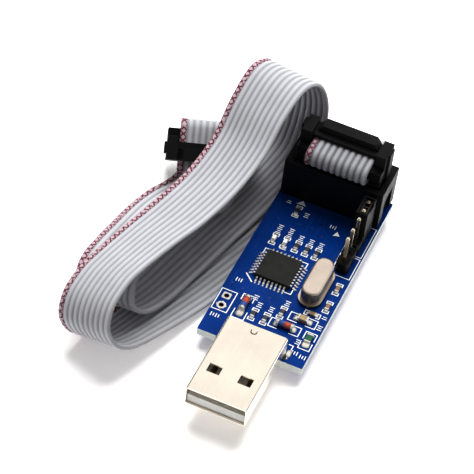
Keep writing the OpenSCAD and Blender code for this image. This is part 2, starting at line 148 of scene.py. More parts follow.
def stroke(bm, points, width, low, high):
    """A flat line of even width along points, mitred at its bends; it closes if it ends where it starts."""
    points = [Vector(p) for p in points]
    closed = points[0] == points[-1]
    if closed:
        points.pop()
    count = len(points)
    rows = []
    for i, p in enumerate(points):
        before = (p - points[i - 1]).normalized() if closed or i > 0 else None
        after = (points[(i + 1) % count] - p).normalized() if closed or i < count - 1 else None
        before = before or after
        after = after or before
        along = (before + after).normalized()
        side = Vector((-along.y, along.x)) / max(SHARPEST_MITRE, along.dot(before)) * width / 2
        rows.append([bm.verts.new(spot(*(p + side * way), z))
                     for way, z in ((-1, low), (1, low), (1, high), (-1, high))])
    for i in range(count if closed else count - 1):
        bridge(bm, rows[i], rows[(i + 1) % count])
    if not closed:
        bm.faces.new(rows[0])
        bm.faces.new(rows[-1])


def circle(x, y, radius, sides):
    """The corners of a round outline."""
    angles = [2 * math.pi * k / sides for k in range(sides)]
    return [(x + radius * math.cos(a), y + radius * math.sin(a)) for a in angles]


def washer(bm, x, y, inner, outer, low, high, sides=24, outline=None):
    """A flat ring with a round hole; outline(angle) may give the outer edge another shape."""
    loops = []
    for level in (low, high):
        for ring in ("in", "out"):
            loop = []
            for k in range(sides):
                a = 2 * math.pi * (k + 0.5) / sides
                r = inner if ring == "in" else (outline(a) if outline else outer)
                loop.append(bm.verts.new(spot(x + r * math.cos(a), y + r * math.sin(a), level)))
            loops.append(loop)
    low_in, low_out, high_in, high_out = loops
    for here, ahead in ((high_in, high_out), (high_out, low_out), (low_out, low_in), (low_in, high_in)):
        bridge(bm, here, ahead)


# ---------------------------------------------------------------- materials


def rgb(r, g, b):
    return (r, g, b, 1.0)


COAT_ROUGHNESS = 0.08
NOISE_LOW, NOISE_HIGH = 0.3, 0.7  # nearly all of the noise lies between these
WORN_WIDTH = 0.12
WORN_FROM, WORN_TO = 0.998, 0.9  # cosine between face and rounded edge where wear begins and is full


class Look:
    """A procedural material: a Principled shader with colour, roughness and bump from noise."""

    def __init__(self, name, color, rough=0.5, metal=0.0, coat=0.0):
        self.material = bpy.data.materials.new(name)
        self.material.use_nodes = True
        self.tree = self.material.node_tree
        self.shader = self.tree.nodes["Principled BSDF"]
        self.shader.inputs["Metallic"].default_value = metal
        self.shader.inputs["Coat Weight"].default_value = coat
        self.shader.inputs["Coat Roughness"].default_value = COAT_ROUGHNESS
        self.shader.inputs["Roughness"].default_value = rough
        self.rough = rough
        self.color = self.node("ShaderNodeRGB")
        self.color.outputs[0].default_value = rgb(*color)
        self.color_out = self.color.outputs[0]
        self.link(self.color_out, self.shader.inputs["Base Color"])
        self.normal_out = None
        self.coords = self.node("ShaderNodeTexCoord")

    def node(self, kind, **settings):
        """A new shader node with its settings."""
        node = self.tree.nodes.new(kind)
        for key, value in settings.items():
            setattr(node, key, value)
        return node

    def link(self, a, b):
        self.tree.links.new(a, b)

    def set(self, socket, value):
        self.shader.inputs[socket].default_value = value
        return self

    def translucent(self, weight, depth_mm):
        """Light that wanders under the surface, as in resin or vinyl."""
        self.set("Subsurface Weight", weight)
        return self.set("Subsurface Radius", (depth_mm * MM,) * 3)

    def upward(self):
        """How far the face looks up or down: 1 on top, 0 at the sides, -1 underneath."""
        geometry = self.node("ShaderNodeNewGeometry")
        split = self.node("ShaderNodeSeparateXYZ")
        self.link(geometry.outputs["True Normal"], split.inputs[0])
        return split.outputs["Z"]

    def math(self, operation, a, b=None, c=None):
        node = self.node("ShaderNodeMath", operation=operation)
        for socket, item in zip(node.inputs, (a, b, c)):
            if item is None:
                continue
            if isinstance(item, (int, float)):
                socket.default_value = item
            else:
                self.link(item, socket)
        return node.outputs[0]

    def noise(self, size_mm, detail=3.0, stretch=(1, 1, 1)):
        """Noise whose features are about size_mm across, stretched along an axis where that is below 1."""
        place = self.node("ShaderNodeMapping")
        place.inputs["Scale"].default_value = stretch
        self.link(self.coords.outputs["Object"], place.inputs["Vector"])
        noise = self.node("ShaderNodeTexNoise")
        noise.inputs["Scale"].default_value = 1.0 / (size_mm * MM)
        noise.inputs["Detail"].default_value = detail
        self.link(place.outputs["Vector"], noise.inputs["Vector"])
        return noise.outputs["Fac"]

    def ranged(self, source, low, high):
        """A source such as noise, stretched to run from low to high."""
        node = self.node("ShaderNodeMapRange")
        node.inputs["From Min"].default_value = NOISE_LOW
        node.inputs["From Max"].default_value = NOISE_HIGH
        node.inputs["To Min"].default_value = low
        node.inputs["To Max"].default_value = high
        self.link(source, node.inputs["Value"])
        return node.outputs["Result"]

    def mix(self, factor, a, b):
        node = self.node("ShaderNodeMix", data_type="RGBA")
        for socket, item in ((node.inputs["Factor"], factor), (node.inputs[6], a), (node.inputs[7], b)):
            if isinstance(item, (tuple, float, int)):
                socket.default_value = item
            else:
                self.link(item, socket)
        return node.outputs[2]

    def set_color(self, source):
        self.color_out = source
        self.link(source, self.shader.inputs["Base Color"])
        return self

    def mottled(self, size_mm, amount):
        """Slow changes of shade over the surface."""
        gain = self.ranged(self.noise(size_mm), 1 - amount, 1 + amount)
        scale = self.node("ShaderNodeVectorMath", operation="SCALE")
        self.link(self.color_out, scale.inputs[0])
        self.link(gain, scale.inputs["Scale"])
        return self.set_color(scale.outputs[0])

    def uneven(self, size_mm, amount, stretch=(1, 1, 1)):
        """Roughness that varies over the surface."""
        rough = self.ranged(self.noise(size_mm, stretch=stretch), self.rough - amount, self.rough + amount)
        self.link(rough, self.shader.inputs["Roughness"])
        return self

    def bumpy(self, size_mm, depth_mm, strength, stretch=(1, 1, 1), detail=3.0):
        """Fine relief over the surface."""
        bump = self.node("ShaderNodeBump")
        bump.inputs["Strength"].default_value = strength
        bump.inputs["Distance"].default_value = depth_mm * MM
        self.link(self.noise(size_mm, detail, stretch), bump.inputs["Height"])
        if self.normal_out:
            self.link(self.normal_out, bump.inputs["Normal"])
        self.normal_out = bump.outputs["Normal"]
        self.link(self.normal_out, self.shader.inputs["Normal"])
        return self

    def worn_edges(self, color, amount):
        """Edges that have been rubbed show a lighter tone."""
        geometry = self.node("ShaderNodeNewGeometry")
        rounded = self.node("ShaderNodeBevel", samples=4)
        rounded.inputs["Radius"].default_value = WORN_WIDTH * MM
        dot = self.node("ShaderNodeVectorMath", operation="DOT_PRODUCT")
        self.link(rounded.outputs["Normal"], dot.inputs[0])
        self.link(geometry.outputs["True Normal"], dot.inputs[1])
        edge = self.node("ShaderNodeMapRange")
        edge.inputs["From Min"].default_value = WORN_FROM
        edge.inputs["From Max"].default_value = WORN_TO
        edge.inputs["To Max"].default_value = amount
        self.link(dot.outputs["Value"], edge.inputs["Value"])
        return self.set_color(self.mix(edge.outputs["Result"], self.color_out, rgb(*color)))


# name: colour, roughness, metal, coat, shade (size mm, amount), roughness change (size mm, amount),
# relief (size mm, depth mm, strength)
PLAIN_LOOKS = {
    "white_print": ((0.82, 0.83, 0.82), 0.55, 0, 0, (0.3, 0.1), None, (0.12, 0.01, 0.4)),
    "bright_solder": ((0.88, 0.86, 0.82), 0.3, 1, 0, (0.5, 0.1), (0.4, 0.08), (0.35, 0.015, 0.3)),
    "moulded_white": ((0.76, 0.76, 0.73), 0.42, 0, 0, (2.5, 0.05), None, (0.15, 0.01, 0.25)),
    "gold_plate": ((0.86, 0.66, 0.32), 0.22, 1, 0, (1, 0.06), (0.4, 0.06), None),
    "tinned_lead": ((0.93, 0.90, 0.85), 0.3, 1, 0, (0.4, 0.08), (0.3, 0.08), None),
    # painted shade: the shunt's spring clip is dark for the shade inside the housing
    "shaded_spring": ((0.13, 0.12, 0.11), 0.4, 1, 0, (0.4, 0.1), (0.3, 0.08), None),
    # painted shade: the free holes' walls are dark brown for the shade inside the holes
    "shaded_hole_wall": ((0.10, 0.055, 0.03), 0.5, 0.6, 0, (0.3, 0.2), None, (0.2, 0.01, 0.3)),
    "dull_glass": ((0.05, 0.05, 0.05), 0.6, 0, 0, (0.6, 0.2), None, (0.2, 0.02, 0.4)),
    "resistor_glaze": ((0.03, 0.03, 0.035), 0.3, 0, 0.4, (0.4, 0.2), None, (0.1, 0.01, 0.4)),
    "tan_ceramic": ((0.25, 0.17, 0.10), 0.45, 0, 0, (0.3, 0.15), None, (0.08, 0.01, 0.5)),
    "filter_ceramic": ((0.34, 0.27, 0.16), 0.4, 0, 0, (0.4, 0.15), None, (0.1, 0.01, 0.5)),
    "fuse_varnish": ((0.015, 0.10, 0.045), 0.35, 0, 0.1, (0.4, 0.25), None, (0.15, 0.015, 0.4)),
    "copper_strands": ((0.72, 0.33, 0.17), 0.3, 1, 0, (0.2, 0.2), None, (0.08, 0.02, 0.6)),
}


def plain_look(name):
    color, rough, metal, coat, shade, rough_change, relief = PLAIN_LOOKS[name]
    look = Look(name, color, rough, metal, coat).mottled(*shade)
    if rough_change:
        look.uneven(*rough_change)
    if relief:
        look.bumpy(*relief)
    return look.material


def solder_mask():
    """Blue lacquer on the board's faces and pale glass fibre laminate at its edges."""
    look = Look("solder_mask", (0.001, 0.036, 0.19), rough=0.34).mottled(6, 0.12)
    look.set("Specular IOR Level", 0.12)
    is_edge = look.math("LESS_THAN", look.math("ABSOLUTE", look.upward()), 0.5)
    fibre = look.ranged(look.noise(0.15, stretch=(0.1, 0.1, 1)), 0.0, 1.0)
    laminate = look.mix(fibre, rgb(0.56, 0.61, 0.60), rgb(0.74, 0.78, 0.77))
    look.set_color(look.mix(is_edge, look.color_out, laminate))
    return look.bumpy(0.35, 0.01, 0.25).uneven(2.5, 0.06).material


def copper_under_mask():
    look = Look("copper_under_mask", (0.002, 0.043, 0.215), rough=0.32).set("Specular IOR Level", 0.15)
    return look.mottled(3, 0.1).bumpy(0.3, 0.01, 0.2).material


def plated_shell():
    """Plated steel with fine marks along the plug from rolling and from use."""
    look = Look("plated_shell", (0.93, 0.87, 0.78), rough=0.24, metal=1.0).mottled(7, 0.05)
    look.uneven(0.5, 0.05, stretch=(1, 0.05, 1))
    return look.bumpy(0.12, 0.004, 0.15, stretch=(1, 0.03, 1)).bumpy(3.5, 0.02, 0.25).material


def chip_black():
    look = Look("chip_black", (0.026, 0.026, 0.025), rough=0.5).mottled(1.5, 0.15)
    look.set("Specular IOR Level", 0.2)
    return look.worn_edges((0.1, 0.1, 0.1), 0.4).bumpy(0.08, 0.015, 0.6).material


def crystal_metal():
    """Brushed can whose drawn side is painted darker than its top and its flange, as painted shade."""
    look = Look("crystal_metal", (0.81, 0.71, 0.63), rough=0.34, metal=1.0).mottled(4, 0.06)
    top = look.ranged(look.upward(), 0.0, 1.0)
    # painted shade: faces turned sideways get a dark brown-grey, faces turned up keep the can's colour
    look.set_color(look.mix(top, rgb(0.20, 0.185, 0.155), look.color_out))
    return look.uneven(1.5, 0.05).bumpy(3, 0.003, 0.1, detail=0.0).material


DIODE_BODY = 2.4
DIODE_RED, DIODE_ORANGE = (0.34, 0.05, 0.02), (0.46, 0.09, 0.04)
DIODE_BLUE, DIODE_DEEP_BLUE = (0.03, 0.09, 0.28), (0.02, 0.07, 0.24)
DIODE_BANDS = ((0.3, DIODE_ORANGE), (0.52, DIODE_RED), (0.58, DIODE_BLUE), (0.85, DIODE_BLUE))


def diode_glass(name, axis, middle_mm, blue_side):
    """Glass body with a blue band on one half and red-orange on the other."""
    look = Look(name, (0.4, 0.06, 0.03), rough=0.15, coat=0.5)
    split = look.node("ShaderNodeSeparateXYZ")
    look.link(look.coords.outputs["Object"], split.inputs[0])
    offset = look.math("SUBTRACT", split.outputs[axis], middle_mm * MM)
    where = look.math("MULTIPLY_ADD", offset, blue_side / (DIODE_BODY * MM), 0.5)
    ramp = look.node("ShaderNodeValToRGB")
    ends = ramp.color_ramp.elements
    ends[0].color = rgb(*DIODE_RED)
    ends[1].color = rgb(*DIODE_DEEP_BLUE)
    for position, color in DIODE_BANDS:
        ends.new(position).color = rgb(*color)
    look.link(where, ramp.inputs["Fac"])
    return look.set_color(ramp.outputs["Color"]).mottled(0.4, 0.12).material


def lamp_resin():
    look = Look("lamp_resin", (0.86, 0.88, 0.84), rough=0.22, coat=0.6).mottled(0.3, 0.06)
    return look.translucent(0.3, 0.4).bumpy(0.2, 0.01, 0.2).material


def connector_black(name="connector_black", shade=0.006, rough=0.42):
    """Black moulding plastic, a little paler on its worn edges."""
    look = Look(name, (shade, shade, shade * 1.05), rough=rough).mottled(2.5, 0.12).uneven(1.5, 0.06)
    look.set("Specular IOR Level", 0.16)
    return look.worn_edges((0.07, 0.07, 0.07), 0.35).bumpy(0.12, 0.012, 0.35).material


def relief_black(name):
    """The strain reliefs are a slightly paler plastic."""
    return connector_black(name, shade=0.012, rough=0.5)


def pin_plate():
    """Plated pins with draw marks along them."""
    look = Look("pin_plate", (0.84, 0.76, 0.62), rough=0.2, metal=1.0).mottled(1, 0.08)
    return look.uneven(0.3, 0.06, stretch=(1, 1, 0.1)).bumpy(0.1, 0.004, 0.3, stretch=(1, 1, 0.05)).material


WIRES = 10
WIRE_PITCH = 1.27
VINYL_GREY = (0.50, 0.505, 0.535)
VINYL_PINK = (0.53, 0.42, 0.45)
MARK_RED = (0.15, 0.025, 0.05)
# colour of dust and of painted shade in the grooves between the wires
GROOVE_DUST_AND_SHADE = (0.07, 0.07, 0.08)
MARK_LENGTH = 1.25  # millimetres from one printed dash to the next
MARK_SHARE = 0.15  # half a dash, as a share of that length
MARK_LEAN = 1.1
MARKED_WIRE_END = 0.98


def ribbon_vinyl(name="ribbon_vinyl", shade=1.0, groove_dust_and_shade=0.4):
    """Grey vinyl; UV u runs across the wires and v along them in millimetres. Wire 0 is pink with marks."""
    # a shade below 1 gives a darker copy of the vinyl, which is painted shade
    look = Look(name, [tone * shade for tone in VINYL_GREY], rough=0.4).mottled(5, 0.04)
    look.set("Specular IOR Level", 0.3)
    uv = look.node("ShaderNodeUVMap", uv_map="across_and_along")
    split = look.node("ShaderNodeSeparateXYZ")
    look.link(uv.outputs["UV"], split.inputs[0])
    across = look.math("MULTIPLY", split.outputs["X"], float(WIRES))
    along = split.outputs["Y"]
    first = look.math("LESS_THAN", across, MARKED_WIRE_END)
    # slanted dashes: two rows that lean opposite ways, as printed by a wheel
    lean = look.math("MULTIPLY", look.math("ABSOLUTE", look.math("SUBTRACT", across, 0.5)), MARK_LEAN)
    rows = []
    for way in ("ADD", "SUBTRACT"):
        phase = look.math("FRACT", look.math("DIVIDE", look.math(way, along, lean), MARK_LENGTH))
        off_middle = look.math("ABSOLUTE", look.math("SUBTRACT", phase, 0.5))
        rows.append(look.math("LESS_THAN", off_middle, MARK_SHARE))
    patchy = look.math("GREATER_THAN", look.noise(0.5, detail=1.0), 0.4)
    marks = look.math("MULTIPLY", look.math("MAXIMUM", *rows), patchy)
    pink = look.mix(marks, rgb(*(tone * shade for tone in VINYL_PINK)), rgb(*MARK_RED))
    look.set_color(look.mix(first, look.color_out, pink))
    # dust and painted shade darken the grooves between the wires
    middle = look.math("ABSOLUTE", look.math("SUBTRACT", look.math("FRACT", across), 0.5))
    groove = look.node("ShaderNodeMapRange", interpolation_type="SMOOTHSTEP")
    groove.inputs["From Min"].default_value = 0.1
    groove.inputs["From Max"].default_value = 0.5
    groove.inputs["To Max"].default_value = groove_dust_and_shade
    look.link(middle, groove.inputs["Value"])
    look.set_color(look.mix(groove.outputs["Result"], look.color_out, rgb(*GROOVE_DUST_AND_SHADE)))
    return look.translucent(0.08, 0.6).bumpy(0.25, 0.01, 0.2).bumpy(2.5, 0.05, 0.2).material


def paint(piece, material):
    piece.data.materials.clear()
    piece.data.materials.append(material)


def paint_node(name, material):
    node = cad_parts[name]
    if not node.material_slots:
        node.data.materials.append(material)
    for slot in node.material_slots:
        slot.material = material


# ---------------------------------------------------------------- ribbon cable

RIBBON_W = WIRES * WIRE_PITCH
RIBBON_T = 0.9
RING_STEP = 1.1
WIRE_SWELL = 1.08  # the wires overlap a little, so that thin webs join them
ARC_STEPS = 6

# points of the free cable from the near plug to the far one: x, y, z, turn and roll of its width way
TAIL_ROUTE = [
    (10.35, 47.95, 13.05, 0, 0), (10.35, 48.6, 13.05, 0, 0), (10.4, 49.6, 12.55, 0, -1),
    (10.4, 50.7, 11.2, -1, -3), (10.3, 52.1, 9, -3, -6), (10.1, 53.7, 6.4, -5, -9),
    (9.7, 55.1, 3.7, -8, -10), (9.1, 55.8, 1, -11, -10), (8.3, 55.6, -1.3, -14, -7),
    (7.4, 54.4, -2.8, -16, -4), (6.1, 51.7, -3.4, -18, -1), (4.9, 48, -3.5, -18, 0),
    (0.9, 35.6, -3.5, -18, 0), (-2.7, 24.1, -3.5, -18, 0), (-6.3, 12.7, -3.3, -18, 3),
    (-8.2, 7, -3, -17, 6), (-10, 1.3, -2.5, -17, 11),
    (-12.4, -6.3, -1.7, -16, 19)]
RUN_ROUTE = [
    (-12.4, -6.3, -1.7, -16, 19), (-13.8, -9.8, -0.6, -16, 21),
    (-15.5, -12.4, 1.8, -16, 22), (-17.1, -12.8, 5.3, -15, 22), (-17.7, -10.4, 8.4, -15, 22),
    (-17.4, -6.8, 10, -15, 22), (-16.7, -3, 10.7, -15, 22), (-14.1, 6.7, 10.8, -15, 19),
    (-11.4, 16.3, 10.5, -15, 15), (-9, 25.9, 11.3, -15, 15), (-7.5, 34, 14, -14, 14),
    (-6.9, 40.5, 18.5, -12, 11), (-6, 47, 21, -11, 6), (-4.9, 52.2, 19, -12, 4),
    (-4, 55.5, 14.2, -12, 3), (-3.4, 56.7, 8.6, -12, 3), (-3.3, 55.6, 3, -12, 4),
    (-3.6, 53, -0.9, -12, 3), (-4.3, 50, -2.4, -12, 3), (-5.2, 44.7, -2.7, -12, 3),
    (-7.2, 34.9, -2.3, -12, 3), (-9.3, 25.1, -1.7, -12, 2), (-11.4, 15.4, -1.3, -12, 0),
    (-13.5, 5.6, -1.1, -13, 4), (-15.1, -0.7, 0, -11, 12), (-16.8, -3.8, 2.8, -5, 18),
    (-17.8, -2.5, 6, -1, 17), (-18.3, 1.2, 7.3, 0, 15), (-18.1, 7, 6.5, 0, 14), (-17.7, 13, 5.2, 1, 13),
    (-17.2, 20, 3.6, 3, 12), (-16, 24.8, 2.7, 4, 8), (-13.6, 29, 2.1, -4, -1), (-12.6, 31, 2.6, 2, -6),
    (-12.4, 32.7, 3.7, 15, -4), (-12.85, 34, 4.95, 21, 0)]


def route_rings(route):
    """(centre, width way, upward way) of the flat cable at even steps along a route, in millimetres."""
    points = np.array(route, float)
    chords = np.linalg.norm(np.diff(points[:, :3], axis=0), axis=1)
    last = len(points) - 1
    slopes = []
    for i in range(last + 1):
        a, b = max(i - 1, 0), min(i + 1, last)
        slopes.append((points[b] - points[a]) / chords[a:b].sum())
    rings = []
    for i in range(last):
        count = max(1, math.ceil(chords[i] / RING_STEP))
        for j in range(count + (i == last - 1)):
            u = j / count
            p, m = (points[i], points[i + 1]), (slopes[i] * chords[i], slopes[i + 1] * chords[i])
            here = ((2 * u**3 - 3 * u**2 + 1) * p[0] + (u**3 - 2 * u**2 + u) * m[0]
                    + (3 * u**2 - 2 * u**3) * p[1] + (u**3 - u**2) * m[1])
            ahead = ((6 * u**2 - 6 * u) * (p[0] - p[1]) + (3 * u**2 - 4 * u + 1) * m[0]
                     + (3 * u**2 - 2 * u) * m[1])
            t = Vector(ahead[:3]).normalized()
            turn, roll = math.radians(here[3]), math.radians(here[4])
            flat = Vector((math.cos(turn) * math.cos(roll), math.sin(turn) * math.cos(roll), math.sin(roll)))
            w = (flat - t * flat.dot(t)).normalized()
            rings.append((Vector(here[:3]), w, w.cross(t)))
    return rings


def ribbon_section():
    """The cable's outline across its wires: (across, up) in millimetres, round wires joined by thin webs."""
    half_pitch = WIRE_PITCH / 2
    swell = half_pitch * WIRE_SWELL
    valley = math.degrees(math.acos(half_pitch / swell))
    top = []
    for wire in range(WIRES):
        middle = -RIBBON_W / 2 + half_pitch + wire * WIRE_PITCH
        start = 180.0 if wire == 0 else 180 - valley
        end = 0.0 if wire == WIRES - 1 else valley
        for k in range(ARC_STEPS + 1):
            if k == ARC_STEPS and wire < WIRES - 1:
                continue
            a = math.radians(start + (end - start) * k / ARC_STEPS)
            outer = (wire == 0 and a > math.pi / 2) or (wire == WIRES - 1 and a < math.pi / 2)
            reach = half_pitch if outer else swell
            top.append((middle + reach * math.cos(a), RIBBON_T / 2 * math.sin(a)))
    return top + [(x, -z) for x, z in reversed(top[1:-1])]


def sweep_ribbon(name, rings, place=spot, start_mm=0.0):
    """The cable along its rings. Returns the piece and the length reached, so that its marks run on."""
    section = ribbon_section()
    bm = bmesh.new()
    loops = []
    run = start_mm
    runs = []
    for i, (centre, w, up) in enumerate(rings):
        if i:
            run += (centre - rings[i - 1][0]).length
        runs.append(run)
        loops.append([bm.verts.new(place(*(centre + w * x + up * z))) for x, z in section])
    count = len(section)
    uv = bm.loops.layers.uv.new("across_and_along")
    for i in range(len(loops) - 1):
        for k in range(count):
            n = (k + 1) % count
            face = bm.faces.new((loops[i][k], loops[i][n], loops[i + 1][n], loops[i + 1][k]))
            face.smooth = True
            for corner, (which, at) in zip(face.loops, ((k, i), (n, i), (n, i + 1), (k, i + 1))):
                corner[uv].uv = ((section[which][0] + RIBBON_W / 2) / RIBBON_W, runs[at])
    for loop in (loops[0], loops[-1]):
        cap = bm.faces.new(loop)
        for edge in cap.edges:
            edge.smooth = False
    return make_piece(name, bm), run


vinyl = ribbon_vinyl()
# painted shade: where the ribbon is pressed round the near plug's cover it gets a darker copy of the vinyl
# with darker grooves
shaded_bend_vinyl = ribbon_vinyl("shaded_bend_vinyl", shade=0.67, groove_dust_and_shade=0.7)

PLUG_D = 6.1
RIBBON_LOW = 7.925
RIBBON_HIGH = 10.95
RIBBON_TURN_Y = -3.35
RIBBON_EXIT_Y = 4.1
RIBBON_START_Y = PLUG_D - 0.3 + RIBBON_TURN_Y
CRIMPED_RINGS, BEND_RINGS, COVER_RINGS = 6, 16, 8


def plug_ribbon_rings(side):
    """The ribbon's bend over a plug's cover, in the plug's own frame; side is where the marked wire lies."""
    w = Vector((-side, 0, 0))
    crimped, covered = RIBBON_TURN_Y - RIBBON_START_Y, RIBBON_EXIT_Y - RIBBON_TURN_Y
    middle, radius = (RIBBON_LOW + RIBBON_HIGH) / 2, (RIBBON_HIGH - RIBBON_LOW) / 2
    line = [(RIBBON_START_Y + crimped * k / (CRIMPED_RINGS - 1), RIBBON_LOW) for k in range(CRIMPED_RINGS)]
    for k in range(1, BEND_RINGS):
        a = math.radians(-90 - 180 * k / BEND_RINGS)
        line.append((RIBBON_TURN_Y + radius * math.cos(a), middle + radius * math.sin(a)))
    line += [(RIBBON_TURN_Y + covered * k / (COVER_RINGS - 1), RIBBON_HIGH) for k in range(COVER_RINGS)]
    rings = []
    for i, (y, z) in enumerate(line):
        a, b = line[max(i - 1, 0)], line[min(i + 1, len(line) - 1)]
        t = Vector((0, b[0] - a[0], b[1] - a[1])).normalized()
        rings.append((Vector((0, y, z)), w, w.cross(t)))
    return rings


header_low, header_high = (Vector(corner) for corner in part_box("box_header"))
PLUG_MIDDLE = ((header_low + header_high) / 2 - spot(0, 0)) / MM
PLUG_SEAT = 2.1
FAR_PLUG_AT = (-16.6, 43.8, -0.25)
FAR_PLUG_TURN = 21
FAR_PLUG_LEAN = 43
far_turn = (Matrix.Rotation(math.radians(180 + FAR_PLUG_TURN), 3, "Z")
            @ Matrix.Rotation(math.radians(-FAR_PLUG_LEAN), 3, "X"))


def in_plug(x, y, z):
    """A point of the near plug's own frame."""
    return spot(PLUG_MIDDLE.x + x, PLUG_MIDDLE.y + y, PLUG_SEAT + z)


def in_far_plug(x, y, z):
    """A point of the far plug's own frame."""
    return spot(*(Vector(FAR_PLUG_AT) + far_turn @ Vector((x, y, z))))


def make_ribbons():
    tail_rings, run_rings = route_rings(TAIL_ROUTE), route_rings(RUN_ROUTE)
    bend, reached = sweep_ribbon("plug_ribbon_wires", plug_ribbon_rings(-1), in_plug)
    tail, reached = sweep_ribbon("cable_tail_wires", tail_rings, start_mm=reached)
    run, reached = sweep_ribbon("cable_run_wires", run_rings, start_mm=reached)
    far_bend, reached = sweep_ribbon("far_plug_ribbon_wires", plug_ribbon_rings(1), in_far_plug)
    for piece, node, look in ((bend, "plug_ribbon", shaded_bend_vinyl), (tail, "cable_tail", vinyl),
                              (run, "cable_run", vinyl), (far_bend, "far_plug_ribbon", vinyl)):
        paint(piece, look)
        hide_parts(node)
    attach(bend, "cable_plug")
    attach(run, "board")
    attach(far_bend, "board")
    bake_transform(tail)


make_ribbons()

# ---------------------------------------------------------------- the board's printed and soldered detail

# heights over the board's top face, and thicknesses below its underside
UNDER = -1.6
PRINT_LOW, PRINT_HIGH = 0.03, 0.05
TRACE_HIGH = 0.025
PAD_HIGH = 0.06
VIA_HIGH = TRACE_HIGH + 0.01

LINE = 0.2
PITCH = 2.54
SHELL_LEFT, SHELL_MIDDLE, SHELL_RIGHT = 5, 11, 17
SHELL_TOP = 4.5

# middles of the parts on the board
RESISTORS = ((7.9, 7.95), (10.3, 7.95), (12.5, 10.85), (8.6, 27.5), (10.7, 27.5), (12.7, 27.5), (5.2, 36.1))
SMALL_CAPS = ((19.6, 21.1), (19.6, 16.1))
LAMPS = ((3.95, 27.4), (6.25, 27.4))
SMALL_PARTS = RESISTORS + SMALL_CAPS + LAMPS
INPUT_CAP = (17.7, 13.1)
FILTER_CAP = (16.7, 10.9)
FUSE = (19.4, 7.1)
DIODE_FRONT = (14.3, 7.85)
DIODE_SIDE = (5.55, 9.2)
CONTROLLER = (7.85, 20.1)
JUMPER_X = 18.45
OPTION_HOLES = ((1.72, 7.3), (1.72, 9.84))
HEADER_HOLES = [(10.35 + PITCH * i, 43.8 + PITCH * j) for i in range(-2, 3) for j in (-0.5, 0.5)]
JUMPER_HOLES = [(JUMPER_X, y) for y in (26.5, 29.04, 32.2, 34.74, 37.28)]
USB_HOLES = [(SHELL_MIDDLE + x, 2.75) for x in (-3.5, -1, 1, 3.5)]
CRYSTAL_HOLES = [(15.9, 17.06), (15.9, 21.94)]

# printed work: boxes (x0, y0, x1, y1), brackets (x, y, width, depth, open side), arrow heads, and the
# plain bars that stand in for labels (x, y, count, turn)
BOXES = ((0.25, 5.9, 3.3, 11.3), (16.7, 24.4, 20.65, 30.1), (16.7, 30.6, 20.65, 38.9))
BRACKETS = (
    (DIODE_FRONT[0] - 2.1, DIODE_FRONT[1], 1.8, 2.2, "e"),
    (DIODE_FRONT[0] + 2.1, DIODE_FRONT[1], 1.8, 2.2, "w"),
    (FILTER_CAP[0] - 1.75, FILTER_CAP[1], 1.9, 2.1, "e"),
    (FILTER_CAP[0] + 1.75, FILTER_CAP[1], 1.9, 2.1, "w"),
    (DIODE_SIDE[0], DIODE_SIDE[1] + 1.9, 2.3, 1.6, "s"),
    (DIODE_SIDE[0], DIODE_SIDE[1] - 2.5, 2.5, 2.2, "n"),
    (FUSE[0], FUSE[1] + 0.75, 2.2, 1.9, "s"),
    (FUSE[0], FUSE[1] - 1.75, 2.2, 1.9, "n"))
ARROWS = (((4.2, 38.1), (6.2, 38.1), (5.2, 39.3)), ((13.6, 33.5), (14.9, 33.9), (14.1, 34.9)),
          ((6.7, 26.4), (7.1, 25.6), (5.7, 25.6)))
LABELS = (
    (2.8, 37.8, 2, 90), (7.2, 36, 3, 90), (12.9, 35.6, 3, 0), (20.1, 13.3, 2, 90), (20.15, 10.6, 3, 90),
    (3.95, 30.3, 5, 90), (6.25, 30.3, 5, 90), (8.6, 30, 3, 90), (10.7, 30, 3, 90), (12.7, 30, 3, 90),
    (8.1, 10.6, 3, 90), (10.5, 10.6, 3, 90), (12.6, 13.4, 3, 90), (6.8, 12, 3, 90), (1.6, 4.5, 4, 0),
    (17.9, 5.6, 3, 90), (18.3, 2.9, 3, 0), (20, 2.6, 3, 0), (2.2, 14.6, 3, 0), (15.6, 25.2, 2, 0))
USB_MARKS = ([(4.6, 1), (4.6, 3.6)], [(17.5, 0.8), (17.5, 4.3), (16.6, 4.3)])
PIN_ONE_MARK, PIN_ONE_WIDTH = [(2.7, 16.9), (4.5, 15.2)], 0.26
UNDER_OUTLINES = (
    [(0.6, 39.5), (20.1, 39.5), (20.1, 46.4), (0.6, 46.4), (0.6, 39.5)],
    [(5, 0.5), (5, 4.6), (17, 4.6), (17, 0.5)],
    [(17.9, 24.5), (20.6, 24.5), (20.6, 38.8), (17.9, 38.8), (17.9, 24.5)])
UNDER_BARS, UNDER_BAR_WIDTH = [[(x, 31.6), (x, 33)] for x in range(7, 14)], 0.25
UNDER_ARROW = ((4.4, 38.9), (5.8, 38.9), (5.1, 37.7))
CORNER_MARK = ((3.05, 4.35), (4.35, 4.35), (4.35, 3.05))  # from the controller's middle
BAR_STEP, BAR_HALF, BAR_SHORTER, BAR_WIDTH = 0.5, 0.5, 0.12, 0.19

